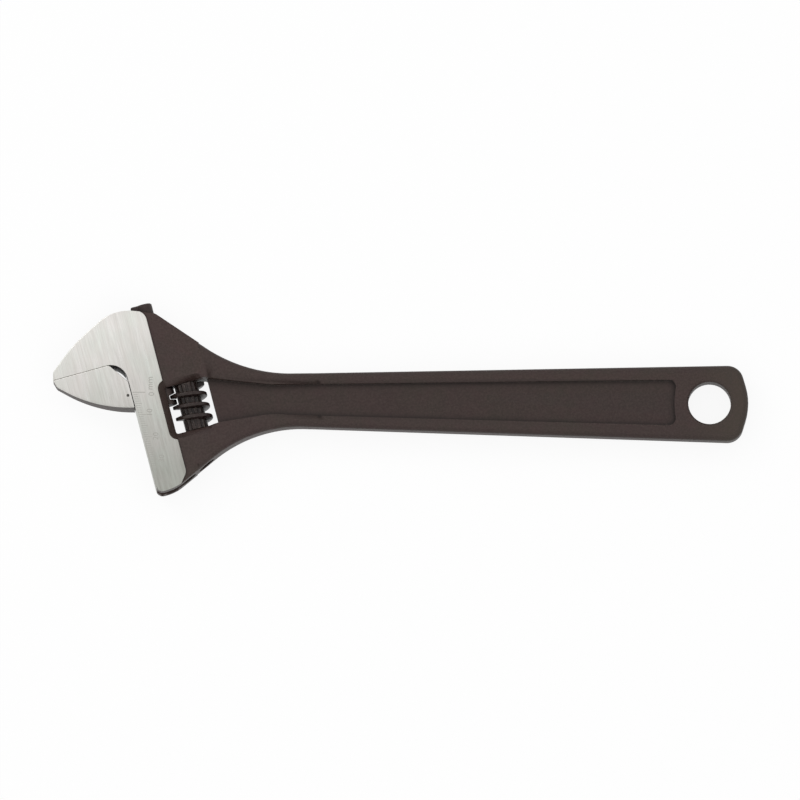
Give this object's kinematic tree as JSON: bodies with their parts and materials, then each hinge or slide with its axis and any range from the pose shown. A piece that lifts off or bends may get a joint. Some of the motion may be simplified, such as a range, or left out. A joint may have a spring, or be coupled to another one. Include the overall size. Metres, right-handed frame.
{
  "type": "adjustable wrench",
  "caption": "Open-end adjustable wrench with a slanted head, a worm knurl that slides the lower jaw on a rack, a sunken-panel handle and a round hang hole.",
  "frame": {"origin": "centre of the hang hole, halfway through the handle", "axes": "+Z along the hang hole, out of the front face; +X along the handle, away from the jaws; +Y towards the fixed jaw's side"},
  "size_m": [0.2992, 0.0827, 0.0164],
  "materials": {
    "forging": "satin brown-black phosphate, with ground and polished jaw faces",
    "polished_steel": "ground and polished faces",
    "dark_steel": "satin brown-black phosphate",
    "spring_steel": "plain spring wire"
  },
  "bodies": {
    "frame": {"body": "forging", "knurl_pin": "dark_steel", "knurl_spring": "spring_steel"},
    "jaw": {"movable_jaw": "polished_steel"},
    "worm": {"knurl": "dark_steel"}
  },
  "joints": [
    {"name": "jaw_slide", "type": "slide", "parent": "frame", "child": "jaw", "axis": [0.2588, -0.9659, 0], "range_m": [0, 0.034]},
    {"name": "knurl_turn", "type": "hinge", "parent": "frame", "child": "worm", "pos_m": [-0.22288, -0.00299, 0], "axis": [0.2588, -0.9659, 0], "range_deg": [0, 2448.1]}
  ],
  "couplings": [
    {"joint": "knurl_turn", "follows": "jaw_slide", "rad_per_m": 1256.6}
  ]
}
